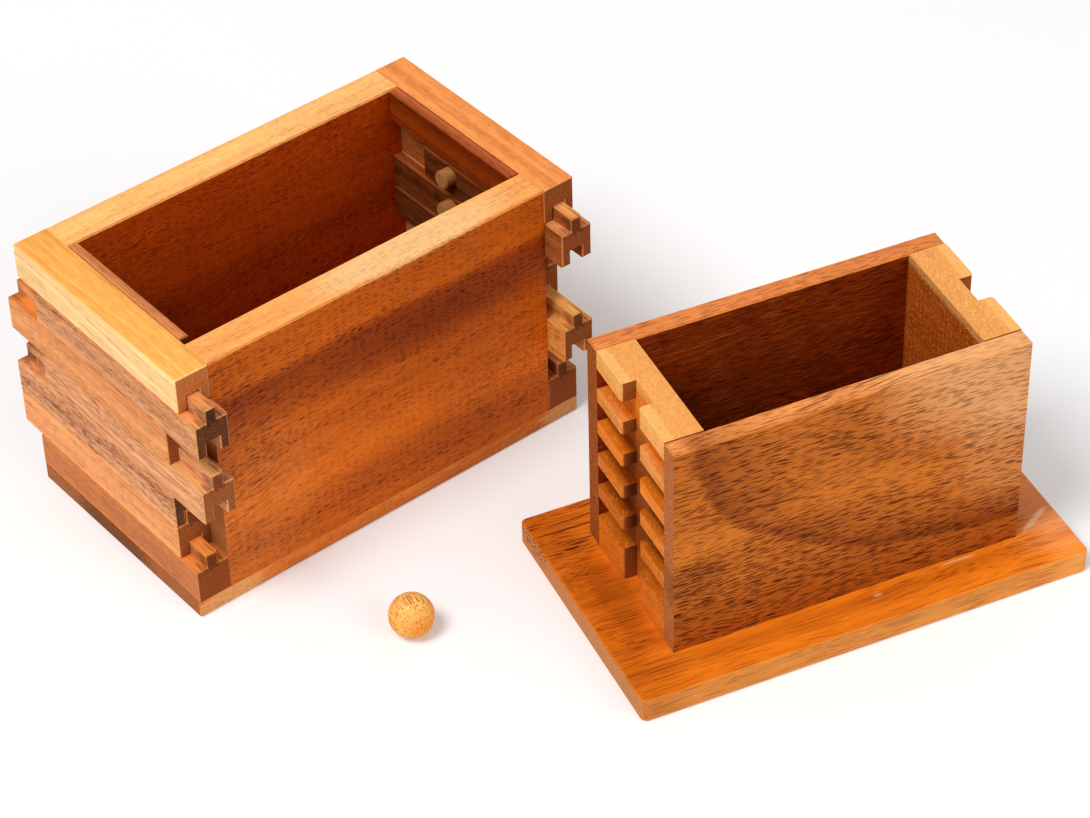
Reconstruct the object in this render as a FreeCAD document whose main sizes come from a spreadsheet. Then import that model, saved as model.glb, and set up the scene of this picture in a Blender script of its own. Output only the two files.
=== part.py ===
"""Wooden puzzle box, opened: a casing with sliding rails, an inner box with its maze, and a ball.

The casing stands turned over, rim up, beside the inner box on its base plate. X runs along the
inner box, Y across it and Z up; the origin is the middle of the base plate's underside.
"""
import FreeCAD
import Part
import Sketcher
import math
import os
import re

# Driving dimensions, in millimetres
SIZES = {
    # Casing
    "casing_length": 142.0,
    "casing_width": 81.0,
    "wall_thickness": 11.6,
    "lid_thickness": 5.8,
    "strip_thickness": 3.4,
    "strip_margin": 1.5,
    "strip_gap": 0.2,
    "short_strip_gap": 2.4,
    # Rails: height of one step of the stack, tongue, and running gaps
    "rail_pitch": 12.0,
    "rail_thickness": 11.3,
    "rail_gap": 0.3,
    "slide_gap": 0.2,
    "tongue_width": 3.9,
    "tongue_height": 4.6,
    "tongue_side_gap": 0.3,
    "tongue_top_gap": 0.5,
    # Sliding: how far a rail goes out on either side of flush
    "slide_travel": 8.0,
    "stop_gap": 0.1,
    # Guide blocks and dowels
    "block_margin": 1.5,
    "block_clearance": 1.0,
    "dowel_diameter": 6.0,
    "dowel_cover": 0.5,
    "dowel_web": 0.4,
    "glue_gap": 0.1,
    # Inner box, which fits inside the casing
    "end_clearance": 0.8,
    "side_clearance": 1.1,
    "end_board_thickness": 12.0,
    "inner_wall_thickness": 6.2,
    "top_bar": 6.5,
    # Maze in the end boards, in which the dowels run
    "maze_depth": 4.6,
    "tip_clearance": 1.8,
    "slot_play": 0.7,
    "channel_play": 2.4,
    "bar_round": 1.2,
    # Base plate
    "base_thickness": 8.0,
    "base_end_lip": 0.9,
    "base_side_lip": 1.6,
    "base_corner": 2.0,
    # Easing of the sanded edges
    "edge_ease": 0.5,
    "rail_ease": 0.4,
    # Ball
    "ball_diameter": 13.5,
    # Where the casing and the ball stand; the turn is in degrees
    "casing_x": -110.8,
    "casing_y": 109.1,
    "casing_turn": 15.0,
    "ball_x": -115.9,
    "ball_y": 19.7,
}

# Which way each rail is out, from the rim to the lid: -1 to the near side, 1 to the far side
NEAR = -1
FAR = 1
RAILS_OUT = {
    "left": (NEAR, FAR, NEAR, FAR, FAR),
    "right": (NEAR, FAR, FAR, NEAR, FAR),
}
SLIDERS = len(RAILS_OUT["left"])
STACK = SLIDERS + 2
SAME_PLACE = 0.001
END_SIGN = {"left": -1, "right": 1}
WALL_SIGN = {"near": -1, "far": 1}

# Dimensions that follow from the driving ones
GROOVE_WIDTH = "(tongue_width + 2 * tongue_side_gap)"
GROOVE_DEPTH = "(tongue_height + tongue_top_gap - rail_gap)"
RAIL_TOP = "(rail_pitch - rail_gap)"
STACK_HEIGHT = f"({STACK} * rail_pitch)"
CAVITY_LENGTH = "(casing_length - 2 * rail_thickness)"
CAVITY_WIDTH = "(casing_width - 2 * wall_thickness)"
STRIP_HEIGHT = "(rail_pitch - strip_margin)"
BLOCK_LENGTH = f"({CAVITY_WIDTH} - 2 * (slide_travel + stop_gap))"
BLOCK_DEPTH = "(strip_thickness + end_clearance - block_clearance)"
DOWEL_DROP = "(rail_gap + dowel_cover + dowel_diameter / 2)"
DOWEL_SEAT = f"((rail_thickness - {GROOVE_WIDTH}) / 2 - dowel_web)"
DOWEL_REACH = "(strip_thickness + end_clearance + maze_depth - tip_clearance)"
DOWEL_HOLE = "(dowel_diameter + 2 * glue_gap)"
INNER_LENGTH = "(casing_length - 2 * (rail_thickness + strip_thickness + end_clearance))"
INNER_WIDTH = "(casing_width - 2 * (wall_thickness + side_clearance))"
SLOT_HEIGHT = "(dowel_diameter + 2 * slot_play)"
CHANNEL_WIDTH = "(dowel_diameter + 2 * channel_play)"
FIRST_SLOT = f"(rail_pitch + {DOWEL_DROP} - {SLOT_HEIGHT} / 2)"
MAZE_RUN = f"({SLIDERS - 1} * rail_pitch)"
INNER_HEIGHT = f"({FIRST_SLOT} + {MAZE_RUN} + {SLOT_HEIGHT} + top_bar)"
END_BOARD_WIDTH = f"({INNER_WIDTH} - 2 * inner_wall_thickness)"
BASE_LENGTH = "(casing_length + 2 * base_end_lip)"
BASE_WIDTH = "(casing_width + 2 * base_side_lip)"

document = FreeCAD.newDocument("puzzle_box")
sheet = document.addObject("Spreadsheet::Sheet", "Sizes")
for row, (alias, number) in enumerate(SIZES.items(), start=1):
    sheet.set(f"A{row}", alias)
    sheet.set(f"B{row}", str(number))
    sheet.setAlias(f"B{row}", alias)
document.recompute()

pieces = []


def from_sheet(text):
    """Expression text with every size's name pointed at its cell."""
    return re.sub(r"[a-z]\w+", lambda name: "Sizes." + name[0] if name[0] in SIZES else name[0], text)


def new_body(label):
    body = document.addObject("PartDesign::Body", label)
    body.Label = label
    pieces.append(body)
    return body


def sketch_on(body, plane):
    sketch = body.newObject("Sketcher::SketchObject", body.Name + "_sketch")
    support = next(feature for feature in body.Origin.OriginFeatures if feature.Role == plane)
    sketch.AttachmentSupport = (support, [""])
    sketch.MapMode = "FlatFace"
    return sketch


def fix_point(sketch, geometry, point, across, up):
    """Hold one point of the sketch at two distances from the origin."""
    for kind, text in (("DistanceX", across), ("DistanceY", up)):
        constraint = sketch.addConstraint(Sketcher.Constraint(kind, -1, 1, geometry, point, 1.0))
        name = f"{kind}_{geometry}"
        sketch.renameConstraint(constraint, name)
        sketch.setExpression(f"Constraints.{name}", from_sheet(text))


def outline(sketch, corners):
    """Closed straight-sided outline through the corners, each an (across, up) pair of texts."""
    count = len(corners)
    rough = [FreeCAD.Vector(math.cos(math.tau * i / count), math.sin(math.tau * i / count), 0)
             for i in range(count)]
    for i in range(count):
        sketch.addGeometry(Part.LineSegment(rough[i], rough[(i + 1) % count]))
    for i in range(count):
        sketch.addConstraint(Sketcher.Constraint("Coincident", i, 2, (i + 1) % count, 1))
    for i, (across, up) in enumerate(corners):
        fix_point(sketch, i, 1, across, up)


def rectangle(sketch, left, right, bottom, top):
    outline(sketch, [(left, bottom), (right, bottom), (right, top), (left, top)])


def circle(sketch, across, up, diameter):
    sketch.addGeometry(Part.Circle(FreeCAD.Vector(1, 1, 0), FreeCAD.Vector(0, 0, 1), 1))
    fix_point(sketch, 0, 3, across, up)
    constraint = sketch.addConstraint(Sketcher.Constraint("Diameter", 0, 2.0))
    sketch.renameConstraint(constraint, "diameter")
    sketch.setExpression("Constraints.diameter", from_sheet(diameter))


def pad(body, sketch, length, symmetric=False, reverse=False):
    feature = body.newObject("PartDesign::Pad", body.Name + "_pad")
    feature.Profile = sketch
    feature.setExpression("Length", from_sheet(length))
    feature.SideType = "Symmetric" if symmetric else "One side"
    feature.Reversed = reverse
    document.recompute()


def pocket(body, sketch, depth, towards_plus):
    """Cut the sketch into the body along its plane's normal, or against it."""
    before = body.Shape.Volume
    feature = body.newObject("PartDesign::Pocket", body.Name + "_pocket")
    feature.Profile = sketch
    feature.setExpression("Length", from_sheet(depth))
    feature.Reversed = towards_plus
    document.recompute()
    if not body.Shape.Volume < before:
        raise RuntimeError(f"{feature.Label} cut nothing")
    return feature


def dress_edges(body, kind, measure, size, chosen):
    """Fillet or chamfer the edges of the body's last feature for which chosen(edge) holds."""
    base = body.Tip
    names = [f"Edge{i}" for i, edge in enumerate(base.Shape.Edges, start=1) if chosen(edge)]
    feature = body.newObject(f"PartDesign::{kind}", f"{body.Name}_{kind.lower()}")
    feature.Base = (base, names)
    feature.setExpression(measure, from_sheet(size))
    document.recompute()


def round_edges(body, radius, chosen):
    dress_edges(body, "Fillet", "Radius", radius, chosen)


def ease_edges(body, size, chosen):
    dress_edges(body, "Chamfer", "Size", size, chosen)


def lies_at(edge, axis, level):
    """Whether all of an edge lies at one level of the X, Y or Z axis."""
    low = getattr(edge.BoundBox, axis + "Min")
    high = getattr(edge.BoundBox, axis + "Max")
    return max(abs(low - level), abs(high - level)) < SAME_PLACE


def lies_at_any(edge, axis, levels):
    return any(lies_at(edge, axis, level) for level in levels)


def stands_up(edge):
    return edge.BoundBox.ZLength > edge.BoundBox.DiagonalLength - SAME_PLACE


def place(piece, along, across, height):
    """Stand a piece of the inner box, or a loose one, in the part's frame."""
    for axis, text in zip("xyz", (along, across, height)):
        piece.setExpression(f"Placement.Base.{axis}", from_sheet(text))


def place_in_casing(piece, along, across, height):
    """Stand a piece in the casing's own frame; a first small turn fixes Z as the axis to turn about."""
    x = f"casing_x + ({along}) * cos(casing_turn) - ({across}) * sin(casing_turn)"
    y = f"casing_y + ({along}) * sin(casing_turn) + ({across}) * cos(casing_turn)"
    piece.Placement = FreeCAD.Placement(FreeCAD.Vector(), FreeCAD.Rotation(FreeCAD.Vector(0, 0, 1), 1))
    place(piece, x, y, height)
    piece.setExpression("Placement.Rotation.Angle", from_sheet("casing_turn"))


def board(label, length, width, height):
    """Plain board, centred in X and Y, standing on Z = 0."""
    body = new_body(label)
    sketch = sketch_on(body, "XY_Plane")
    rectangle(sketch, f"-{length} / 2", f"{length} / 2", f"-{width} / 2", f"{width} / 2")
    pad(body, sketch, height)
    return body


# Casing: boards
def lid_plate():
    plate = board("lid_plate", "casing_length", "casing_width", "lid_thickness")
    ease_edges(plate, "edge_ease", lambda edge: lies_at(edge, "Z", 0) or stands_up(edge))
    place_in_casing(plate, "0", "0", "0")


def side_wall(side):
    sign = WALL_SIGN[side]
    wall = board(f"{side}_side_wall", CAVITY_LENGTH, "wall_thickness", STACK_HEIGHT)
    box = wall.Shape.BoundBox
    ease_edges(wall, "edge_ease",
               lambda edge: lies_at(edge, "Z", box.ZMax) and lies_at_any(edge, "Y", (box.YMin, box.YMax)))
    place_in_casing(wall, "0", f"{sign} * (casing_width - wall_thickness) / 2", "lid_thickness")


def rim_strip(end):
    """Thin strip glued inside the rim rail, which centres the inner box; the left one is cut short."""
    sign = END_SIGN[end]
    near_gap = "short_strip_gap" if end == "left" else "strip_gap"
    length = f"({CAVITY_WIDTH} - strip_gap - {near_gap})"
    strip = board(f"{end}_rim_strip", "strip_thickness", length, STRIP_HEIGHT)
    top = strip.Shape.BoundBox.ZMax
    ease_edges(strip, "rail_ease", lambda edge: lies_at(edge, "Z", top))
    along = f"{sign} * ({CAVITY_LENGTH} - strip_thickness) / 2"
    across = f"({near_gap} - strip_gap) / 2"
    place_in_casing(strip, along, across, f"lid_thickness + {STACK_HEIGHT} - {STRIP_HEIGHT}")


# Casing: rails
def rail(label, end, step, out="0", inner_gap="0", tongue=True, groove=True):
    """Rail padded from its section; the section's origin is at the foot of the rail's inner face."""
    sign = END_SIGN[end]
    top = RAIL_TOP if tongue else "rail_pitch"
    section = [(inner_gap, "0")]
    if groove:
        near_side = f"(rail_thickness - {GROOVE_WIDTH}) / 2"
        far_side = f"(rail_thickness + {GROOVE_WIDTH}) / 2"
        section += [(near_side, "0"), (near_side, GROOVE_DEPTH), (far_side, GROOVE_DEPTH), (far_side, "0")]
    section += [("rail_thickness", "0"), ("rail_thickness", top)]
    if tongue:
        near_side = "(rail_thickness - tongue_width) / 2"
        far_side = "(rail_thickness + tongue_width) / 2"
        tip = f"{top} + tongue_height"
        section += [(far_side, top), (far_side, tip), (near_side, tip), (near_side, top)]
    section += [(inner_gap, top)]
    body = new_body(label)
    sketch = sketch_on(body, "XZ_Plane")
    outline(sketch, [(f"{sign} * ({across})", up) for across, up in section])
    pad(body, sketch, "casing_width", symmetric=True)
    box = body.Shape.BoundBox
    outer = box.XMax if sign > 0 else box.XMin
    ease_edges(body, "rail_ease",
               lambda edge: lies_at(edge, "X", outer) or lies_at_any(edge, "Y", (box.YMin, box.YMax)))
    place_on_rail(body, end, step, out)
    return body


def place_on_rail(piece, end, step, out):
    """Stand a rail, or what it carries, at its step of the stack; out is how far it is slid."""
    along = f"{END_SIGN[end]} * {CAVITY_LENGTH} / 2"
    place_in_casing(piece, along, out, f"lid_thickness + {step} * rail_pitch")


def round_sketch(body, across, diameter, start):
    """Circle round the dowel's axis; start is its place along X."""
    sketch = sketch_on(body, "YZ_Plane")
    sketch.setExpression("AttachmentOffset.Base.z", from_sheet(start))
    circle(sketch, across, f"rail_pitch - {DOWEL_DROP}", diameter)
    return sketch


def bore(body, end, across, start, depth):
    """Hole for the dowel, bored outwards from start."""
    pocket(body, round_sketch(body, across, DOWEL_HOLE, start), depth, towards_plus=END_SIGN[end] > 0)


def slider(end, number):
    """Sliding rail with its guide block and dowel; the dowel is off centre, away from the way out."""
    sign = END_SIGN[end]
    way = RAILS_OUT[end][number - 1]
    step = STACK - 1 - number
    out = f"{way} * slide_travel"
    dowel_across = f"{-way} * slide_travel"
    label = f"{end}_slider_{number}"

    body = rail(f"{label}_rail", end, step, out, inner_gap="slide_gap")
    bore(body, end, dowel_across, "0", f"{DOWEL_SEAT} + glue_gap")

    block = new_body(f"{label}_block")
    sketch = sketch_on(block, "XZ_Plane")
    rectangle(sketch, f"{-sign} * {BLOCK_DEPTH}", f"{sign} * slide_gap", "block_margin", RAIL_TOP)
    pad(block, sketch, BLOCK_LENGTH, symmetric=True)
    bore(block, end, dowel_across, f"{-sign} * {BLOCK_DEPTH}", f"{BLOCK_DEPTH} + slide_gap")
    place_on_rail(block, end, step, out)

    dowel = new_body(f"{label}_dowel")
    sketch = round_sketch(dowel, dowel_across, "dowel_diameter", f"{sign} * {DOWEL_SEAT}")
    pad(dowel, sketch, f"{DOWEL_SEAT} + {DOWEL_REACH}", reverse=sign > 0)
    box = dowel.Shape.BoundBox
    tip = box.XMin if sign > 0 else box.XMax
    ease_edges(dowel, "edge_ease", lambda edge: lies_at(edge, "X", tip))
    place_on_rail(dowel, end, step, out)


# Inner box
def base_plate():
    plate = board("base_plate", BASE_LENGTH, BASE_WIDTH, "base_thickness")
    round_edges(plate, "base_corner", stands_up)
    thickness = plate.Shape.BoundBox.ZMax
    ease_edges(plate, "edge_ease", lambda edge: lies_at_any(edge, "Z", (0, thickness)))
    place(plate, "0", "0", "0")


def end_board(end):
    """Thick end board whose outer face is cut with the maze: one upright channel and level slots."""
    sign = END_SIGN[end]
    body = new_body(f"{end}_end_board")
    sketch = sketch_on(body, "XY_Plane")
    half = f"{END_BOARD_WIDTH} / 2"
    rectangle(sketch, f"{-sign} * end_board_thickness", "0", f"-{half}", half)
    pad(body, sketch, INNER_HEIGHT)
    channel = sketch_on(body, "YZ_Plane")
    rectangle(channel, f"-{CHANNEL_WIDTH} / 2", f"{CHANNEL_WIDTH} / 2", "0", INNER_HEIGHT)
    pocket(body, channel, "maze_depth", towards_plus=sign < 0)
    slot = sketch_on(body, "YZ_Plane")
    rectangle(slot, f"-{half}", half, FIRST_SLOT, f"{FIRST_SLOT} + {SLOT_HEIGHT}")
    first = pocket(body, slot, "maze_depth", towards_plus=sign < 0)
    pattern = body.newObject("PartDesign::LinearPattern", body.Name + "_slots")
    pattern.Originals = [first]
    pattern.Direction = (slot, ["V_Axis"])
    pattern.setExpression("Length", from_sheet(MAZE_RUN))
    pattern.Occurrences = SLIDERS
    body.Tip = pattern
    document.recompute()
    box = channel.Shape.BoundBox
    mouth = (box.YMin, box.YMax)
    round_edges(body, "bar_round",
                lambda edge: stands_up(edge) and lies_at(edge, "X", 0) and lies_at_any(edge, "Y", mouth))
    place(body, f"{sign} * {INNER_LENGTH} / 2", "0", "base_thickness")


def long_wall(side):
    sign = WALL_SIGN[side]
    wall = board(f"{side}_long_wall", INNER_LENGTH, "inner_wall_thickness", INNER_HEIGHT)
    box = wall.Shape.BoundBox
    ease_edges(wall, "edge_ease", lambda edge: lies_at(edge, "Z", box.ZMax))
    place(wall, "0", f"{sign} * ({INNER_WIDTH} - inner_wall_thickness) / 2", "base_thickness")


def ball():
    sphere = document.addObject("Part::Sphere", "ball")
    sphere.Label = "ball"
    sphere.setExpression("Radius", from_sheet("ball_diameter / 2"))
    place(sphere, "ball_x", "ball_y", "ball_diameter / 2")
    pieces.append(sphere)


lid_plate()
for side in WALL_SIGN:
    side_wall(side)
for end in END_SIGN:
    rail(f"{end}_lid_rail", end, 0, groove=False)
    for number in range(1, SLIDERS + 1):
        slider(end, number)
    rail(f"{end}_rim_rail", end, STACK - 1, tongue=False)
    rim_strip(end)
base_plate()
for end in END_SIGN:
    end_board(end)
for side in WALL_SIGN:
    long_wall(side)
ball()
document.recompute()

# Every piece is sound before any is written
for item in document.Objects:
    if "Invalid" in item.State or "Error" in item.State:
        raise RuntimeError(f"{item.Label} did not build")
for piece in pieces:
    if piece.Shape.isNull() or not piece.Shape.isValid():
        raise RuntimeError(f"{piece.Label} has no sound shape")

os.makedirs("parts", exist_ok=True)
for piece in pieces:
    piece.Shape.exportStep(f"parts/{piece.Label}.step")
print(f"{len(pieces)} pieces")
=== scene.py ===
"""Wooden puzzle box, opened: looks of the casing, its sliding rails, the inner box and the ball."""
import math

import bpy
from mathutils import Matrix, Vector

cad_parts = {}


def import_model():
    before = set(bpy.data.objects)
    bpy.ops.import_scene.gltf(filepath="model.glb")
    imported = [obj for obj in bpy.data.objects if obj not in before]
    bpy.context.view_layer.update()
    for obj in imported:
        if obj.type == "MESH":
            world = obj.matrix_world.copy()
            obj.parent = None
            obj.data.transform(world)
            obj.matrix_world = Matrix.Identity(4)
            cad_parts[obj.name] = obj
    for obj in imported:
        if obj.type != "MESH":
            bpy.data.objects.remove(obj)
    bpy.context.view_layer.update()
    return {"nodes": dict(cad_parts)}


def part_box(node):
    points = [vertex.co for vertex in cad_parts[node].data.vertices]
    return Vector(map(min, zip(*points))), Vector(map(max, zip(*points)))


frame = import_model()
bpy.ops.object.select_all(action="DESELECT")

MM = 0.001
LEVEL = (0.0, 0.0, 0.0)
ENDS = ("left", "right")
SLIDERS = range(1, 6)

# The side of each end's pieces, along their own Y, that faces the middle of the box
INWARDS = {"left": -1.0, "right": 1.0}

# Grain directions, as turns about Z from the frame's X
ALONG_BOX = 0.0
ACROSS_BOX = math.radians(90.0)
ALONG_CASING = math.radians(15.0)
ACROSS_CASING = ALONG_CASING + ACROSS_BOX
BALL_GRAIN = math.radians(-85.0)


# Node helpers
def add_node(tree, kind, inputs=None, **settings):
    """New node; an input that is a socket is linked, and any other is set as a value."""
    made = tree.nodes.new(kind)
    for name, value in settings.items():
        setattr(made, name, value)
    for name, value in (inputs or {}).items():
        if isinstance(value, bpy.types.NodeSocket):
            tree.links.new(value, made.inputs[name])
        else:
            made.inputs[name].default_value = value
    return made


def maths(tree, operation, first, second=0.0, third=0.0, clamp=False):
    inputs = {0: first, 1: second, 2: third}
    return add_node(tree, "ShaderNodeMath", inputs, operation=operation, use_clamp=clamp).outputs[0]


def vector_maths(tree, operation, first, second=(0.0, 0.0, 0.0)):
    made = add_node(tree, "ShaderNodeVectorMath", {0: first, 1: second}, operation=operation)
    return made.outputs["Value" if operation == "LENGTH" else "Vector"]


def scaled(tree, vector, scale):
    inputs = {0: vector, "Scale": scale}
    return add_node(tree, "ShaderNodeVectorMath", inputs, operation="SCALE").outputs[0]


def vector_of(tree, along, across, up):
    return add_node(tree, "ShaderNodeCombineXYZ", {"X": along, "Y": across, "Z": up}).outputs[0]


def parts_of(tree, vector):
    return add_node(tree, "ShaderNodeSeparateXYZ", {0: vector}).outputs


def ramp(tree, value, low, high, out_low=0.0, out_high=1.0):
    """Smooth step of the value from low to high."""
    inputs = {"Value": value, "From Min": low, "From Max": high, "To Min": out_low, "To Max": out_high}
    return add_node(tree, "ShaderNodeMapRange", inputs, interpolation_type="SMOOTHSTEP").outputs["Result"]


def mix(tree, share, first, second, blend="MIX"):
    inputs = {"Factor": share, 6: first, 7: second}
    made = add_node(tree, "ShaderNodeMix", inputs, data_type="RGBA", blend_type=blend, clamp_factor=True)
    return made.outputs[2]


def mix_value(tree, share, first, second):
    made = add_node(tree, "ShaderNodeMix", {"Factor": share, 2: first, 3: second}, data_type="FLOAT")
    return made.outputs[0]


def darkened(tree, share, colour, filter_colour):
    """Colour seen through a share of a darker filter."""
    return mix(tree, share, colour, mix(tree, 1.0, colour, filter_colour, "MULTIPLY"))


def noise(tree, inputs, dimensions="3D", output="Fac"):
    return add_node(tree, "ShaderNodeTexNoise", inputs, noise_dimensions=dimensions).outputs[output]


def streaky_noise(tree, place, along, across, output="Fac", **settings):
    """Noise with a smaller scale along the grain than across it, so that its patches are drawn out."""
    drawn = vector_maths(tree, "MULTIPLY", place, (along, across, across))
    return noise(tree, {"Vector": drawn, "Scale": 1.0, **settings}, output=output)


def about_zero(tree, value):
    """Value of 0 to 1 moved to swing about 0."""
    return maths(tree, "SUBTRACT", value, 0.5)


def vector_about_zero(tree, vector):
    return vector_maths(tree, "SUBTRACT", vector, (0.5, 0.5, 0.5))


def new_group(name, inputs, outputs):
    """Shader node group with the named inputs, each with its starting value, and outputs."""
    tree = bpy.data.node_groups.new(name, "ShaderNodeTree")
    for label, value in inputs.items():
        kind = "NodeSocketFloat"
        if isinstance(value, tuple):
            kind = "NodeSocketColor" if len(value) == 4 else "NodeSocketVector"
        socket = tree.interface.new_socket(label, in_out="INPUT", socket_type=kind)
        socket.default_value = value
    for label, kind in outputs.items():
        tree.interface.new_socket(label, in_out="OUTPUT", socket_type=kind)
    return tree, tree.nodes.new("NodeGroupInput").outputs, tree.nodes.new("NodeGroupOutput").inputs


def place_group(tree, group, inputs):
    return add_node(tree, "ShaderNodeGroup", inputs, node_tree=group).outputs


# Shared effects; vectors are in millimetres, X along the grain
def growth_ring_group():
    """Broad light and dark bands round a pith line, drawn out along the grain."""
    tree, given, out = new_group(
        "growth_rings",
        {"Vector": (0.0, 0.0, 0.0), "Shift": (0.0, 0.0, 0.0), "Pith": (0.0, 60.0, 40.0), "Along": 0.1,
         "Width": 6.0, "Warp": 4.0},
        {"Band": "NodeSocketFloat"})
    shifted = vector_maths(tree, "ADD", given["Vector"], given["Shift"])
    warp = streaky_noise(tree, shifted, along=0.25, across=1.0, output="Color", Scale=0.035, Detail=1.0)
    warp = scaled(tree, vector_about_zero(tree, warp), given["Warp"])
    place = vector_maths(tree, "SUBTRACT", vector_maths(tree, "ADD", given["Vector"], warp), given["Pith"])
    squeeze = vector_of(tree, given["Along"], 1.0, 1.0)
    radius = vector_maths(tree, "LENGTH", vector_maths(tree, "MULTIPLY", place, squeeze))
    start = parts_of(tree, given["Shift"])["X"]
    count = maths(tree, "ADD", maths(tree, "DIVIDE", radius, given["Width"]), start)
    band = noise(tree, {"W": count, "Scale": 1.0, "Detail": 2.0, "Roughness": 0.55}, "1D")
    tree.links.new(ramp(tree, band, 0.25, 0.75), out["Band"])
    return tree


def dash_group():
    """Short dashes along the grain, each in one cell of a drawn-out pattern; end on they are dots."""
    least_reach = 0.3
    most_reach = 0.675
    hard_share = 0.55
    sway_reach = (0.0, 6.0, 6.0)
    tree, given, out = new_group(
        "grain_dashes",
        {"Vector": (0.0, 0.0, 0.0), "Shift": (0.0, 0.0, 0.0), "Length": 3.0, "Thickness": 0.4, "Cover": 0.6,
         "Sway": 1.0},
        {"Dash": "NodeSocketFloat"})
    shifted = vector_maths(tree, "ADD", given["Vector"], given["Shift"])
    sway = streaky_noise(tree, shifted, along=0.3, across=1.0, output="Color", Scale=0.06, Detail=0.0)
    sway = vector_maths(tree, "MULTIPLY", vector_about_zero(tree, sway), sway_reach)
    sway = scaled(tree, sway, given["Sway"])
    cell = vector_of(tree, given["Length"], given["Thickness"], given["Thickness"])
    place = vector_maths(tree, "DIVIDE", vector_maths(tree, "ADD", shifted, sway), cell)
    cells = add_node(tree, "ShaderNodeTexVoronoi", {"Vector": place, "Scale": 1.0}, feature="F1")
    pick = add_node(tree, "ShaderNodeSeparateColor", {"Color": cells.outputs["Color"]}).outputs
    kept = maths(tree, "LESS_THAN", pick["Red"], given["Cover"])
    reach = ramp(tree, pick["Green"], 0.0, 1.0, least_reach, most_reach)
    hard_reach = maths(tree, "MULTIPLY", reach, hard_share)
    body = ramp(tree, cells.outputs["Distance"], hard_reach, reach, 1.0, 0.0)
    tree.links.new(maths(tree, "MULTIPLY", body, kept), out["Dash"])
    return tree


def face_group():
    """Masks from the way that a face points: across the grain, up, to one side, or an eased edge."""
    tree, given, out = new_group(
        "board_faces", {"Normal": (0.0, 0.0, 1.0), "Inner Side": 0.0},
        {"End": "NodeSocketFloat", "Edge": "NodeSocketFloat", "Top": "NodeSocketFloat",
         "Inside": "NodeSocketFloat"})
    parts = parts_of(tree, given["Normal"])
    sizes = parts_of(tree, vector_maths(tree, "ABSOLUTE", given["Normal"]))
    tree.links.new(ramp(tree, sizes["X"], 0.75, 0.9), out["End"])
    most = maths(tree, "MAXIMUM", maths(tree, "MAXIMUM", sizes["X"], sizes["Y"]), sizes["Z"])
    tree.links.new(ramp(tree, most, 0.8, 0.95, 1.0, 0.0), out["Edge"])
    tree.links.new(ramp(tree, parts["Z"], 0.6, 0.9), out["Top"])
    inward = maths(tree, "MULTIPLY", parts["Y"], given["Inner Side"])
    tree.links.new(ramp(tree, inward, 0.75, 0.9), out["Inside"])
    return tree


def mark_group():
    """Soft stripe along an ellipse round a centre; from a far centre it is nearly straight."""
    tree, given, out = new_group(
        "grain_and_shade_stripe",
        {"Vector": (0.0, 0.0, 0.0), "Centre": (0.0, 0.0, 0.0), "Along": 1.0, "Radius": 30.0, "Inner": 3.0,
         "Outer": 3.0, "Waver": 3.0},
        {"Mark": "NodeSocketFloat"})
    waver = streaky_noise(tree, given["Vector"], along=0.3, across=1.0, Scale=0.06, Detail=2.0)
    waver = maths(tree, "MULTIPLY", about_zero(tree, waver), given["Waver"])
    squeeze = vector_of(tree, given["Along"], 0.0, 1.0)
    place = vector_maths(tree, "SUBTRACT", given["Vector"], given["Centre"])
    radius = vector_maths(tree, "LENGTH", vector_maths(tree, "MULTIPLY", place, squeeze))
    off = maths(tree, "ADD", maths(tree, "SUBTRACT", radius, given["Radius"]), waver)
    outside = ramp(tree, maths(tree, "DIVIDE", off, given["Outer"]), 0.0, 1.0, 1.0, 0.0)
    inside = ramp(tree, maths(tree, "DIVIDE", off, given["Inner"]), -1.0, 0.0)
    tree.links.new(maths(tree, "MULTIPLY", inside, outside), out["Mark"])
    return tree


def spot_group():
    """Soft-edged spot of radius 1 round the origin, with a ragged outline."""
    tree, given, out = new_group(
        "ragged_spot", {"Vector": (0.0, 0.0, 0.0), "Grain": (0.0, 0.0, 0.0), "Soft": 0.5, "Ragged": 0.8},
        {"Spot": "NodeSocketFloat"})
    rag = streaky_noise(tree, given["Grain"], along=0.08, across=1.0, Scale=0.9, Detail=2.0)
    rag = maths(tree, "MULTIPLY", about_zero(tree, rag), given["Ragged"])
    radius = maths(tree, "ADD", vector_maths(tree, "LENGTH", given["Vector"]), rag)
    hard_radius = maths(tree, "SUBTRACT", 1.0, given["Soft"])
    tree.links.new(ramp(tree, radius, hard_radius, 1.0, 1.0, 0.0), out["Spot"])
    return tree


growth_rings = growth_ring_group()
grain_dashes = dash_group()
board_faces = face_group()
grain_and_shade_stripe = mark_group()
ragged_spot = spot_group()


def tint(red, green, blue):
    """Colour from its everyday 0 to 255 numbers."""
    return tuple(((part / 255.0 + 0.055) / 1.055) ** 2.4 for part in (red, green, blue)) + (1.0,)


# How fast each colour of the timber darkens with its grain, the filter of a dark stain, also used for
# painted shade, and the way between the patterns of two seeds
SWING_BASES = {"Red": 1.7, "Green": 2.05, "Blue": 2.3}
STAIN_AND_SHADE = tint(110, 66, 38)
SEED_STEP = (31.7, 17.3, 53.9)

# Shares of the pores on cut ends, of what roughens the finish, and of what raises or sinks the grain
END_PORES = 0.7
ROUGH_FIBRE = 0.16
ROUGH_PORE = 0.2
ROUGH_END = 0.2
FIBRE_HEIGHT = 0.35
PORE_HEIGHT = -0.8
GRIT_HEIGHT = 0.6


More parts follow.
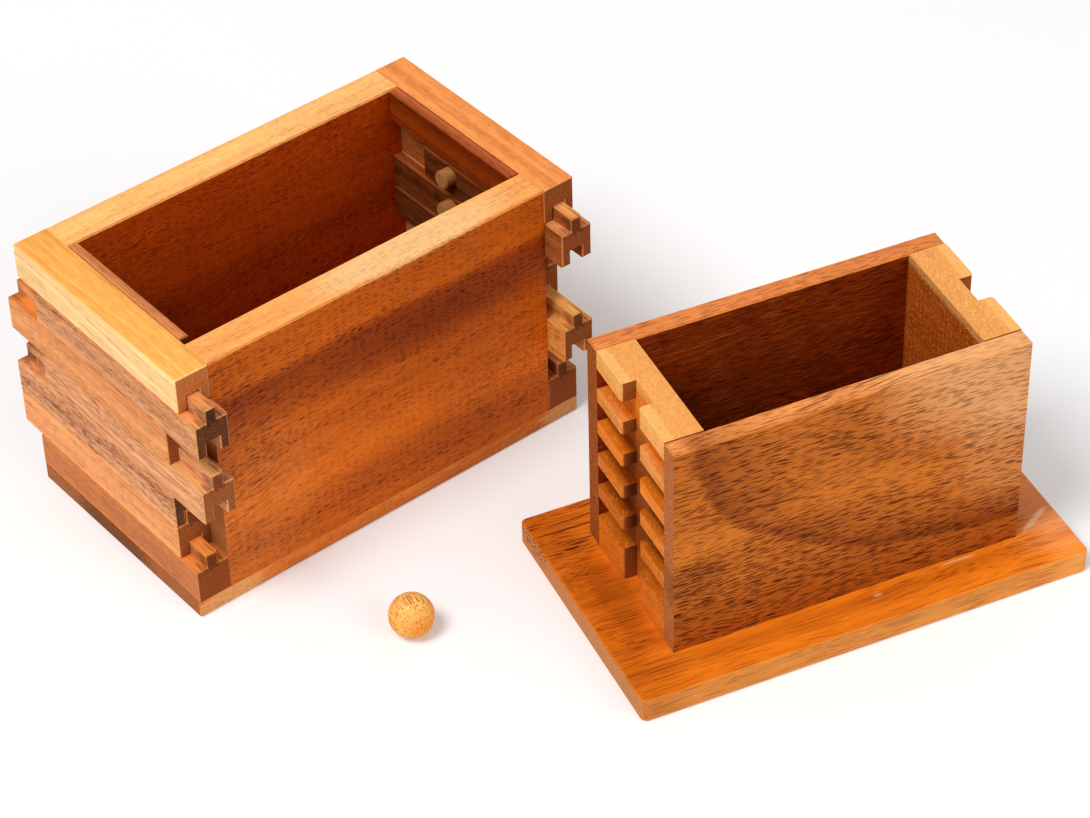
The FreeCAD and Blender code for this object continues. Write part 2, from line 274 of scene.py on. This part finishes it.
def timber_group():
    """Oiled timber: bands, fibres and pores; other tones on its top, its cut ends and its inside, painted
    shade.
    """
    tree, given, out = new_group(
        "timber",
        {"Vector": (0.0, 0.0, 0.0), "Normal": (0.0, 0.0, 1.0), "Mark": 0.0, "Pale Mark And Sheen": 0.0, "Stain And Shade": 0.0,
         "Side": (0.6, 0.25, 0.06, 1.0), "Top": (0.8, 0.4, 0.1, 1.0), "Inside": (0.3, 0.1, 0.02, 1.0),
         "End": (0.25, 0.1, 0.05, 1.0), "Pore": (0.3, 0.2, 0.15, 1.0),
         "Pale Mark And Sheen Colour": (0.95, 0.6, 0.25, 1.0), "Inner Side": 0.0, "Pith": (0.0, 60.0, 40.0), "Along": 0.1,
         "Ring Width": 10.0, "Ring Warp": 8.0, "Contrast": 0.6, "Pore Length": 2.2, "Pore Thickness": 0.26,
         "Pore Cover": 0.6, "Pore Strength": 0.6, "Top Pores": 0.5, "Sway": 1.0, "Fibre": 0.6,
         "Mottle": 0.5, "Grit": 0.2, "Edge Highlight": 0.3, "Roughness": 0.5, "Seed": 0.0},
        {"Colour": "NodeSocketColor", "Roughness": "NodeSocketFloat", "Height": "NodeSocketFloat"})
    place = given["Vector"]
    shift = scaled(tree, SEED_STEP, given["Seed"])
    shifted = vector_maths(tree, "ADD", place, shift)
    faces = place_group(tree, board_faces, {"Normal": given["Normal"], "Inner Side": given["Inner Side"]})
    band = place_group(tree, growth_rings, {
        "Vector": place, "Shift": shift, "Pith": given["Pith"], "Along": given["Along"],
        "Width": given["Ring Width"], "Warp": given["Ring Warp"]})["Band"]
    fibre = streaky_noise(tree, shifted, along=0.05, across=1.4, Detail=2.0, Roughness=0.65)
    hair = streaky_noise(tree, shifted, along=0.2, across=4.5, Detail=1.0)
    mottle = streaky_noise(tree, shifted, along=0.16, across=0.6, Detail=2.0, Roughness=0.6)
    cloud = streaky_noise(tree, shifted, along=0.02, across=0.06, Detail=1.0)
    grit = noise(tree, {"Vector": shifted, "Scale": 3.2, "Detail": 2.0, "Roughness": 0.7})
    dashes = place_group(tree, grain_dashes, {
        "Vector": place, "Shift": shift, "Length": given["Pore Length"],
        "Thickness": given["Pore Thickness"], "Cover": given["Pore Cover"], "Sway": given["Sway"]})["Dash"]

    # Tone of each face, lighter and darker with the grain; the darker tone of inward faces is painted shade
    colour = mix(tree, faces["Inside"], given["Side"], given["Inside"])
    colour = mix(tree, faces["Top"], colour, given["Top"])
    broad = maths(tree, "ADD", about_zero(tree, band), about_zero(tree, cloud))
    lines = maths(tree, "SUBTRACT", maths(tree, "ADD", fibre, hair), 1.0)
    swing = maths(tree, "MULTIPLY", broad, given["Contrast"])
    swing = maths(tree, "MULTIPLY_ADD", lines, given["Fibre"], swing)
    swing = maths(tree, "MULTIPLY_ADD", about_zero(tree, mottle), given["Mottle"], swing)
    swing = maths(tree, "SUBTRACT", swing, given["Mark"])
    powers = {name: maths(tree, "POWER", base, swing) for name, base in SWING_BASES.items()}
    light = add_node(tree, "ShaderNodeCombineColor", powers).outputs[0]
    colour = mix(tree, 1.0, colour, light, "MULTIPLY")

    # Pale flecks and marks, some of them painted sheen and painted light, then pores,
    # which are weaker on the top and where the timber is light
    colour = mix(tree, given["Pale Mark And Sheen"], colour, given["Pale Mark And Sheen Colour"])
    pore_share = ramp(tree, swing, -0.5, 0.5, 1.0, 0.5)
    pores = maths(tree, "MULTIPLY", maths(tree, "MULTIPLY", dashes, pore_share), given["Pore Strength"])
    pores = mix_value(tree, faces["Top"], pores, maths(tree, "MULTIPLY", pores, given["Top Pores"]))
    colour = darkened(tree, pores, colour, given["Pore"])

    # Cut ends, a painted highlight on eased edges, and stains with painted shade
    speck = maths(tree, "MULTIPLY", ramp(tree, grit, 0.42, 0.62), given["Grit"])
    end_pores = maths(tree, "MULTIPLY", dashes, END_PORES)
    end_tone = darkened(tree, end_pores, mix(tree, speck, given["End"], given["Side"]), given["Pore"])
    colour = mix(tree, faces["End"], colour, end_tone)
    # Painted highlight: eased edges take the top tone in patches set by the grit
    broken_highlight = ramp(tree, grit, 0.2, 0.6, 0.3, 1.0)
    edge_highlight = maths(tree, "MULTIPLY", maths(tree, "MULTIPLY", faces["Edge"], given["Edge Highlight"]), broken_highlight)
    colour = mix(tree, edge_highlight, colour, given["Top"])
    colour = darkened(tree, given["Stain And Shade"], colour, STAIN_AND_SHADE)
    tree.links.new(colour, out["Colour"])

    # Fibres, pores and cut ends are rougher; pores are sunk
    rough = maths(tree, "MULTIPLY_ADD", fibre, ROUGH_FIBRE, given["Roughness"])
    rough = maths(tree, "MULTIPLY_ADD", pores, ROUGH_PORE, rough)
    rough = maths(tree, "MULTIPLY_ADD", faces["End"], ROUGH_END, rough, clamp=True)
    tree.links.new(rough, out["Roughness"])
    high = maths(tree, "MULTIPLY_ADD", pores, PORE_HEIGHT, maths(tree, "MULTIPLY", fibre, FIBRE_HEIGHT))
    end_grit = maths(tree, "MULTIPLY", grit, faces["End"])
    tree.links.new(maths(tree, "MULTIPLY_ADD", end_grit, GRIT_HEIGHT, high), out["Height"])
    return tree


timber = timber_group()


# Marks on a board; places and sizes are in millimetres from the board's middle
def level_band(height, below, above, waver=6.0, tilt=0.0):
    """Stripe along a board at a height from its middle; tilt is its rise towards +X."""
    far = 3000.0
    return {"Centre": (tilt * far, 0.0, -far), "Radius": math.hypot(far, tilt * far) + height,
            "Inner": below, "Outer": above, "Waver": waver}


def arc(centre, along, radius, inner, outer, waver=5.0):
    """Stripe along an ellipse; along is the share that a length along the grain counts for."""
    return {"Centre": centre, "Along": along, "Radius": radius, "Inner": inner, "Outer": outer,
            "Waver": waver}


def spot(strength, centre, half_size, ragged, turn=LEVEL):
    """Soft spot with a ragged outline."""
    return {"strength": strength, "ragged": ragged,
            "place": {"Location": centre, "Rotation": turn, "Scale": half_size}}


def dash_field(length, thickness, cover, turn=LEVEL):
    """Dashes along the grain, or turned from it; cover is the share of them that is there."""
    return {"turn": turn, "shape": {"Length": length, "Thickness": thickness, "Cover": cover}}


def spot_mask(tree, board, area):
    own = add_node(tree, "ShaderNodeMapping", {"Vector": board, **area["place"]}, vector_type="TEXTURE")
    inputs = {"Vector": own.outputs[0], "Grain": board, "Ragged": area["ragged"]}
    return place_group(tree, ragged_spot, inputs)["Spot"]


def dash_mask(tree, board, field):
    inputs = {"Vector": board, "Rotation": field["turn"]}
    turned = add_node(tree, "ShaderNodeMapping", inputs, vector_type="POINT").outputs[0]
    return place_group(tree, grain_dashes, {"Vector": turned, **field["shape"]})["Dash"]


def weighted_sum(tree, masks):
    """Sum of (strength, mask) pairs."""
    total = 0.0
    for strength, mask in masks:
        total = maths(tree, "MULTIPLY_ADD", mask, strength, total)
    return total


# Satin of the oiled finish, and how far its grain stands out
OIL_SPECULAR = 0.2
OIL_TINT = (1.0, 0.7, 0.45, 1.0)
GRAIN_STRENGTH = 0.35
GRAIN_DEPTH = 0.3 * MM


def timber_material(node, grain_turn, seed, tone, bands=(), flecks=(), pale=(), stains_and_shade=(), streaks=(),
                    **changes):
    """Oiled timber on one piece, centred on it, with the grain turned about Z from the frame's X.

    bands are (strength, stripe) pairs that darken, some of them painted shade; flecks are (strength,
    dashes) pairs that are pale; pale and dark spots are lists of spots, the pale ones partly painted sheen
    and light, the dark ones real stain and painted shade; and streaks are (spot, dashes) pairs: dark dashes
    inside a spot.
    """
    material = bpy.data.materials.new(f"{node}_timber")
    material.use_nodes = True
    tree = material.node_tree
    tree.nodes.clear()
    low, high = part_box(node)
    where = add_node(tree, "ShaderNodeTexCoord").outputs
    board = add_node(tree, "ShaderNodeMapping", {
        "Vector": where["Object"], "Location": (low + high) / 2, "Rotation": (0.0, 0.0, grain_turn),
        "Scale": (MM, MM, MM)}, vector_type="TEXTURE").outputs[0]
    facing = add_node(tree, "ShaderNodeMapping", {
        "Vector": where["Normal"], "Rotation": (0.0, 0.0, -grain_turn)}, vector_type="VECTOR").outputs[0]

    band_masks = []
    for strength, stripe in bands:
        band_masks.append((strength, place_group(tree, grain_and_shade_stripe, {"Vector": board, **stripe})["Mark"]))
    pale_and_sheen_masks = [(area["strength"], spot_mask(tree, board, area)) for area in pale]
    pale_and_sheen_masks += [(strength, dash_mask(tree, board, field)) for strength, field in flecks]
    dark_masks = [(area["strength"], spot_mask(tree, board, area)) for area in stains_and_shade]
    for area, field in streaks:
        inside = maths(tree, "MULTIPLY", spot_mask(tree, board, area), dash_mask(tree, board, field))
        dark_masks.append((area["strength"], inside))
    made = place_group(tree, timber, {
        "Vector": board, "Normal": facing, "Seed": seed, "Mark": weighted_sum(tree, band_masks),
        "Pale Mark And Sheen": weighted_sum(tree, pale_and_sheen_masks), "Stain And Shade": weighted_sum(tree, dark_masks),
        **tone, **changes})

    bump = add_node(tree, "ShaderNodeBump", {
        "Height": made["Height"], "Strength": GRAIN_STRENGTH, "Distance": GRAIN_DEPTH})
    shader = add_node(tree, "ShaderNodeBsdfPrincipled", {
        "Base Color": made["Colour"], "Roughness": made["Roughness"], "Normal": bump.outputs[0],
        "Specular IOR Level": OIL_SPECULAR, "Specular Tint": OIL_TINT})
    result = add_node(tree, "ShaderNodeOutputMaterial")
    tree.links.new(shader.outputs[0], result.inputs["Surface"])
    piece = frame["nodes"][node]
    piece.data.materials.clear()
    piece.data.materials.append(material)


# Timbers of the rails: the tone of the sides, the top, the inside, a darker painted shade, and the cut ends
RAIL = {"Inside": tint(156, 96, 52), "Ring Width": 3.0, "Pith": (0.0, 40.0, 25.0), "Contrast": 0.35,
        "Pore Length": 5.0, "Pore Thickness": 0.22, "Pore Cover": 0.8}
ORANGE = {**RAIL, "Side": tint(242, 158, 94), "Top": tint(236, 140, 66), "End": tint(150, 76, 28)}
BRIGHT = {**ORANGE, "Side": tint(254, 168, 104)}
BROWN = {**RAIL, "Side": tint(226, 152, 100), "Top": tint(232, 150, 88), "End": tint(84, 40, 16),
         "Pore Length": 7.0, "Pore Cover": 1.0, "Pore Strength": 1.0, "Contrast": 0.5}
RUSSET = {**BROWN, "Side": tint(206, 122, 66), "Inside": tint(176, 98, 46),
          "Top": tint(240, 158, 94), "End": tint(160, 82, 38)}
PINK = {**RAIL, "Side": tint(246, 170, 116), "Top": tint(236, 170, 104), "End": tint(164, 88, 40),
        "Pore Length": 9.0, "Pore Cover": 1.0, "Pore Strength": 1.0, "Contrast": 0.6}
GOLDEN = {**PINK, "Side": tint(240, 166, 88), "Inside": tint(240, 162, 82), "Top": tint(246, 176, 92),
          "End": tint(168, 96, 46)}
WALNUT = {**RAIL, "Side": tint(228, 156, 106), "Top": tint(226, 150, 94), "End": tint(84, 48, 30),
          "Pore Length": 3.2, "Pore Thickness": 0.5, "Pore Cover": 1.0, "Pore Strength": 0.9,
          "Contrast": 0.9}
CREAM = {**RAIL, "Side": tint(255, 206, 140), "Top": tint(254, 174, 84), "End": tint(190, 98, 40),
         "Pore Cover": 0.3, "Pore Strength": 0.3, "Contrast": 0.5, "Mottle": 0.8}
STRIP = {**RAIL, "Side": tint(150, 56, 4), "Top": tint(206, 118, 64), "Inside": tint(146, 56, 6),
         "End": tint(120, 62, 34), "Contrast": 0.9, "Pore Strength": 0.9}
BLOCK = {**RAIL, "Side": tint(126, 58, 20), "Top": tint(156, 80, 34), "Inside": tint(112, 54, 20),
         "End": tint(92, 44, 20), "Pore Thickness": 0.5, "Pore Strength": 1.0, "Contrast": 1.0,
         "Mottle": 1.2}
DOWEL = {**RAIL, "Side": tint(160, 102, 50), "Top": tint(184, 124, 66), "End": tint(190, 138, 78),
         "Pore Length": 1.6, "Mottle": 1.0}

# Timbers of the boards and the ball; the darker tone of their inside is painted shade
WALL = {"Side": tint(210, 100, 16), "Top": tint(255, 186, 110), "Inside": tint(192, 68, 0),
        "End": tint(150, 80, 40), "Pore Length": 2.8, "Pore Thickness": 0.26, "Pore Cover": 0.6,
        "Pore": (0.26, 0.14, 0.07, 1.0), "Pore Strength": 1.0, "Top Pores": 0.4, "Contrast": 0.4,
        "Mottle": 0.4, "Sway": 1.6}
LID = {"Side": tint(216, 118, 42), "Top": tint(190, 90, 30), "End": tint(168, 104, 62), "Mottle": 1.0}
BASE = {"Side": tint(222, 138, 60), "Top": tint(228, 118, 20), "End": tint(206, 138, 86),
        "Contrast": 0.5, "Pore Length": 24.0, "Pore Thickness": 0.24, "Pore Cover": 0.5,
        "Pore": (0.34, 0.2, 0.12, 1.0), "Pore Strength": 0.85, "Top Pores": 1.0, "Sway": 1.5}
MAZE = {"Side": tint(240, 134, 34), "Top": tint(226, 118, 20), "Inside": tint(190, 86, 14),
        "End": tint(150, 80, 34), "Mottle": 0.8}
FIGURED = {"Side": tint(210, 114, 34), "Top": tint(230, 138, 70), "Inside": tint(142, 50, 3),
           "End": tint(176, 98, 46), "Pore Length": 4.6, "Pore Thickness": 0.38, "Pore Cover": 0.9,
           "Pore": (0.17, 0.08, 0.04, 1.0), "Pore Strength": 1.0, "Top Pores": 0.9, "Contrast": 0.4,
           "Mottle": 0.4}
BALL = {"Side": tint(255, 180, 88), "Top": tint(255, 198, 110), "End": tint(252, 168, 74),
        "Pore": (0.6, 0.2, 0.05, 1.0), "Pore Length": 6.0, "Pore Thickness": 0.42, "Pore Cover": 0.8,
        "Pore Strength": 1.3, "Top Pores": 1.0, "Sway": 0.3, "Contrast": 0.3}


# Casing
def casing_walls():
    """Side walls; the near one has a dark band under its rim and dashes that sweep at its left end."""
    bands = [(1.3, level_band(24.0, below=19.0, above=5.5, tilt=-0.01)),
             (0.75, arc((12.0, 0.0, 15.0), along=0.25, radius=0.0, inner=1.0, outer=13.0)),
             (-0.6, level_band(-18.0, below=14.0, above=12.0)),
             (-0.4, arc((62.0, 0.0, -24.0), along=1.0, radius=0.0, inner=1.0, outer=46.0)),
             (0.25, level_band(-35.0, below=8.0, above=10.0))]
    rim_sheen = spot(0.6, (14.0, 0.0, 42.0), half_size=(42.0, 9.0, 2.0), ragged=0.6)
    left_haze = spot(0.05, (-58.0, -6.0, -18.0), half_size=(40.0, 6.0, 42.0), ragged=0.4)
    left_end = spot(0.75, (-58.0, -6.0, 6.0), half_size=(30.0, 6.0, 46.0), ragged=0.3)
    right_end = spot(0.6, (50.0, -6.0, -20.0), half_size=(40.0, 6.0, 20.0), ragged=0.6)
    sweep = dash_field(length=7.0, thickness=0.34, cover=0.55, turn=(0.0, 0.2, 0.0))
    short = dash_field(length=1.8, thickness=0.3, cover=0.7)
    timber_material("near_side_wall", ALONG_CASING, seed=3.1, tone=WALL, bands=bands,
                    pale=[rim_sheen, left_haze], streaks=[(left_end, sweep), (right_end, short)],
                    **{"Inner Side": 1.0, "Pale Mark And Sheen Colour": tint(255, 212, 150), "Top": tint(255, 172, 94),
                       "End": tint(196, 128, 70)})
    slanting = dash_field(length=4.0, thickness=0.25, cover=0.3, turn=(0.0, 0.45, 0.0))
    timber_material("far_side_wall", ALONG_CASING, seed=5.7, tone=WALL, flecks=[(0.35, slanting)],
                    **{"Inner Side": -1.0, "Pale Mark And Sheen Colour": tint(225, 130, 50)})


def casing_lid():
    stained_edge = spot(0.55, (-71.0, 4.0, 0.0), half_size=(3.0, 24.0, 8.0), ragged=1.0)
    pale_corners = [spot(0.4, (-60.0, -40.5, 0.0), half_size=(16.0, 5.0, 6.0), ragged=0.8),
                    spot(0.5, (66.0, -40.5, 0.0), half_size=(12.0, 5.0, 6.0), ragged=0.8)]
    timber_material("lid_plate", ALONG_CASING, seed=8.2, tone=LID, pale=pale_corners, stains_and_shade=[stained_edge])


def casing_ends():
    """Both stacks of rails, each slider with its block and dowel."""
    slider_tones = {"left": (BROWN, ORANGE, PINK, WALNUT, BRIGHT),
                    "right": (RUSSET, RUSSET, ORANGE, GOLDEN, ORANGE)}
    lid_tones = {"left": {**ORANGE, "Side": tint(210, 125, 68), "End": tint(144, 66, 22)}, "right": RUSSET}
    rim_tones = {"left": CREAM,
                 "right": {**ORANGE, "Top": tint(246, 150, 78), "Pore Length": 2.2, "Mottle": 0.8}}
    strip_tops = {"left": tint(222, 138, 80), "right": tint(186, 92, 46)}
    rail_ends = (-40.0, 40.0)
    burns = [spot(0.5, (along, 0.0, 5.0), half_size=(5.0, 6.0, 3.5), ragged=2.2) for along in rail_ends]
    for side, end in enumerate(ENDS):
        inner = {"Inner Side": INWARDS[end]}
        timber_material(f"{end}_lid_rail", ACROSS_CASING, 6.3 + side, lid_tones[end], stains_and_shade=burns, **inner)
        timber_material(f"{end}_rim_rail", ACROSS_CASING, 1.4 + side, rim_tones[end], **inner)
        timber_material(f"{end}_rim_strip", ACROSS_CASING, 4.4 + side, STRIP, Top=strip_tops[end], **inner)
        for number in SLIDERS:
            label = f"{end}_slider_{number}"
            seed = 10.0 * side + 1.7 * number
            tone = slider_tones[end][number - 1]
            timber_material(f"{label}_rail", ACROSS_CASING, seed, tone, stains_and_shade=burns, **inner)
            timber_material(f"{label}_block", ACROSS_CASING, seed + 0.4, BLOCK, **inner)
            timber_material(f"{label}_dowel", ALONG_CASING, seed + 0.9, DOWEL)


# Inner box
def base_plate():
    """Base plate, darker with painted shade at its left end, streaked there, with traces of glue along the
    wall.
    """
    # The first band is painted shade at the left end; the second lightens the right end
    bands = [(0.35, arc((-100.0, 0.0, 0.0), along=1.0, radius=32.0, inner=40.0, outer=16.0)),
             (-0.3, arc((100.0, 0.0, 0.0), along=1.0, radius=32.0, inner=40.0, outer=16.0))]
    pale_end = spot(0.3, (72.0, -8.0, 4.0), half_size=(24.0, 40.0, 8.0), ragged=0.8)
    glue = [spot(0.75, (64.5, -23.3, 4.0), half_size=(8.5, 1.3, 3.0), ragged=0.5, turn=(0.0, 0.0, 0.54)),
            spot(0.6, (7.7, -32.0, 4.0), half_size=(1.8, 0.9, 3.0), ragged=0.5),
            spot(0.5, (35.0, -29.2, 4.0), half_size=(7.0, 0.7, 3.0), ragged=0.7)]
    # Painted shade where the base meets the left end board
    shade_by_end_board = spot(0.3, (-60.5, 0.0, 4.0), half_size=(7.0, 26.0, 8.0), ragged=0.4)
    far_corner = spot(1.0, (-62.0, 33.0, 4.0), half_size=(32.0, 16.0, 8.0), ragged=0.6)
    long_streaks = dash_field(length=30.0, thickness=0.6, cover=0.9)
    timber_material("base_plate", ALONG_BOX, seed=2.2, tone=BASE, bands=bands, pale=[pale_end, *glue],
                    stains_and_shade=[shade_by_end_board], streaks=[(far_corner, long_streaks)],
                    **{"Pale Mark And Sheen Colour": tint(255, 196, 150)})


def long_walls():
    """Long walls; the near one has an arched figure round its upper right corner."""
    heart = (55.0, 0.0, 37.0)
    figure = 0.61
    bands = [(0.6, arc(heart, figure, radius=63.0, inner=16.0, outer=2.5)),
             (0.4, arc(heart, figure, radius=63.0, inner=4.0, outer=2.0)),
             (0.2, arc(heart, figure, radius=36.0, inner=12.0, outer=5.0, waver=8.0)),
             (-0.5, arc(heart, figure, radius=8.0, inner=14.0, outer=30.0)),
             (0.8, level_band(-36.0, below=30.0, above=30.0))]
    # Painted sheen: pale spots towards the upper right corner of the wall
    pale_corner = [spot(0.75, (62.0, 0.0, 42.0), half_size=(66.0, 20.0, 46.0), ragged=0.4),
                   spot(0.25, (60.0, 0.0, 0.0), half_size=(34.0, 20.0, 26.0), ragged=0.8)]
    dark_knot = spot(0.3, (-50.0, 0.0, -12.0), half_size=(17.0, 10.0, 9.0), ragged=1.0,
                     turn=(0.0, -0.3, 0.0))
    low_left = spot(0.75, (-36.0, -4.0, -14.0), half_size=(52.0, 6.0, 17.0), ragged=0.5)
    top_edge = spot(0.7, (6.0, 0.0, 38.0), half_size=(46.0, 6.0, 3.0), ragged=0.5)
    dense = dash_field(length=4.2, thickness=0.48, cover=0.75)
    long_lines = dash_field(length=24.0, thickness=0.6, cover=0.6)
    timber_material("near_long_wall", ALONG_BOX, seed=4.6, tone=FIGURED, bands=bands, pale=pale_corner,
                    stains_and_shade=[dark_knot], streaks=[(low_left, dense), (top_edge, long_lines)],
                    **{"Inner Side": 1.0, "Pale Mark And Sheen Colour": tint(238, 176, 118), "End": tint(196, 118, 66),
                       "Top": tint(242, 150, 78), "Top Pores": 0.7})
    pale_lines = dash_field(length=22.0, thickness=0.24, cover=0.4, turn=(0.0, 0.05, 0.0))
    timber_material("far_long_wall", ALONG_BOX, seed=9.3, tone=FIGURED, flecks=[(0.5, pale_lines)],
                    **{"Inner Side": -1.0, "Pale Mark And Sheen Colour": tint(200, 110, 40), "End": tint(124, 66, 36),
                       "Grit": 1.0, "Top": tint(240, 142, 76), "Top Pores": 0.6})


def end_boards():
    """Slotted end boards: paler top edge, painted light on the upper bars, painted shade in the slots and
    towards the base.
    """
    low_shade = level_band(-40.0, below=40.0, above=60.0)
    shade_strength = {"left": 0.5, "right": 1.1}
    slanting = dash_field(length=1.8, thickness=0.34, cover=0.45, turn=(0.0, 0.0, 0.6))
    fleck_strength = {"left": 0.3, "right": 0.5}
    top_edge = spot(0.62, (0.0, 0.0, 37.0), half_size=(120.0, 20.0, 4.0), ragged=0.3)
    for side, end in enumerate(ENDS):
        inwards = INWARDS[end]
        # Painted light on the upper bars, painted shade deep in the slots
        lit_top_bars = spot(0.75, (0.0, -6.0 * inwards, 44.0), half_size=(60.0, 4.0, 32.0), ragged=0.4)
        slot_shade = spot(0.8, (0.0, 0.3 * inwards, -4.0), half_size=(60.0, 6.2, 38.0), ragged=0.2)
        timber_material(f"{end}_end_board", ACROSS_BOX, 3.3 + side, MAZE,
                        bands=[(shade_strength[end], low_shade)], flecks=[(fleck_strength[end], slanting)],
                        pale=[lit_top_bars, top_edge], stains_and_shade=[slot_shade],
                        **{"Inner Side": inwards, "Pale Mark And Sheen Colour": tint(255, 186, 106)})


# Floor, light and camera; the floor's and the lights' places and sizes are in metres
WHITE = (1.0, 1.0, 1.0, 1.0)
FLOOR_GREY = (0.86, 0.86, 0.86, 1.0)
FLOOR_SIZE = 8.0
FLOOR_GLOW = 0.16
SKY_LIGHT = 0.42
SKY_SEEN = 1.0


def seen_or_lighting(tree, seen, lighting):
    """One shader for what the camera sees, and another for the light that falls on the box."""
    path = add_node(tree, "ShaderNodeLightPath").outputs
    inputs = {0: path["Is Camera Ray"], 1: lighting.outputs[0], 2: seen.outputs[0]}
    return add_node(tree, "ShaderNodeMixShader", inputs).outputs[0]


def floor():
    bpy.ops.object.select_all(action="DESELECT")
    bpy.ops.mesh.primitive_plane_add(size=FLOOR_SIZE, location=(0.0, 0.0, 0.0))
    plane = bpy.context.object
    plane.name = "floor"
    material = bpy.data.materials.new("pale_floor")
    material.use_nodes = True
    tree = material.node_tree
    tree.nodes.clear()
    matt = add_node(tree, "ShaderNodeBsdfDiffuse", {"Color": FLOOR_GREY})
    glow = add_node(tree, "ShaderNodeEmission", {"Color": WHITE, "Strength": FLOOR_GLOW})
    lifted = add_node(tree, "ShaderNodeAddShader", {0: matt.outputs[0], 1: glow.outputs[0]})
    result = add_node(tree, "ShaderNodeOutputMaterial")
    tree.links.new(seen_or_lighting(tree, lifted, matt), result.inputs["Surface"])
    plane.data.materials.append(material)


def world():
    sky = bpy.data.worlds.new("studio")
    bpy.context.scene.world = sky
    sky.use_nodes = True
    tree = sky.node_tree
    tree.nodes.clear()
    soft = add_node(tree, "ShaderNodeBackground", {"Color": WHITE, "Strength": SKY_LIGHT})
    bright = add_node(tree, "ShaderNodeBackground", {"Color": WHITE, "Strength": SKY_SEEN})
    result = add_node(tree, "ShaderNodeOutputWorld")
    tree.links.new(seen_or_lighting(tree, bright, soft), result.inputs["Surface"])


def soft_light(name, place, aim, size, power):
    light = bpy.data.lights.new(name, "AREA")
    light.shape = "DISK"
    light.size = size
    light.energy = power
    lamp = bpy.data.objects.new(name, light)
    bpy.context.scene.collection.objects.link(lamp)
    lamp.location = place
    lamp.rotation_euler = (Vector(aim) - Vector(place)).to_track_quat("-Z", "Y").to_euler()


# Where the photograph was taken from, in millimetres; the focal length is in pixels of its width
PHOTO_WIDTH = 1090.0
FOCAL_PIXELS = 3550.86
SENSOR_WIDTH = 36.0
CAMERA_PLACE = (-370.314, -670.591, 715.017)
CAMERA_HEADING = math.radians(23.34535)
CAMERA_DIP = math.radians(40.69585)
CAMERA_ROLL = math.radians(1.6346)


def photo_camera():
    """Camera turned from +Y towards +X by its heading, tipped down by its dip, and rolled a little."""
    level = Vector((math.sin(CAMERA_HEADING), math.cos(CAMERA_HEADING), 0.0))
    right = Vector((level.y, -level.x, 0.0))
    forward = math.cos(CAMERA_DIP) * level - Vector((0.0, 0.0, math.sin(CAMERA_DIP)))
    up = right.cross(forward)
    across = math.cos(CAMERA_ROLL) * right - math.sin(CAMERA_ROLL) * up
    upward = math.sin(CAMERA_ROLL) * right + math.cos(CAMERA_ROLL) * up
    data = bpy.data.cameras.new("photo_camera")
    data.sensor_fit = "HORIZONTAL"
    data.sensor_width = SENSOR_WIDTH
    data.lens = SENSOR_WIDTH * FOCAL_PIXELS / PHOTO_WIDTH
    data.clip_start = 0.05
    data.clip_end = 20.0
    camera = bpy.data.objects.new("photo_camera", data)
    bpy.context.scene.collection.objects.link(camera)
    turn = Matrix((across, upward, -forward)).transposed().to_4x4()
    camera.matrix_world = Matrix.Translation(Vector(CAMERA_PLACE) * MM) @ turn
    bpy.context.scene.camera = camera


casing_walls()
casing_lid()
casing_ends()
base_plate()
long_walls()
end_boards()
timber_material("ball", BALL_GRAIN, seed=6.1, tone=BALL)
floor()
soft_light("key_light", place=(-1.4, -0.4, 2.3), aim=(-0.05, 0.05, 0.03), size=1.2, power=46.0)
soft_light("fill_light", place=(0.9, -1.8, 1.1), aim=(-0.03, 0.03, 0.04), size=1.5, power=13.0)
photo_camera()
world()
bpy.context.scene.view_settings.view_transform = "Standard"
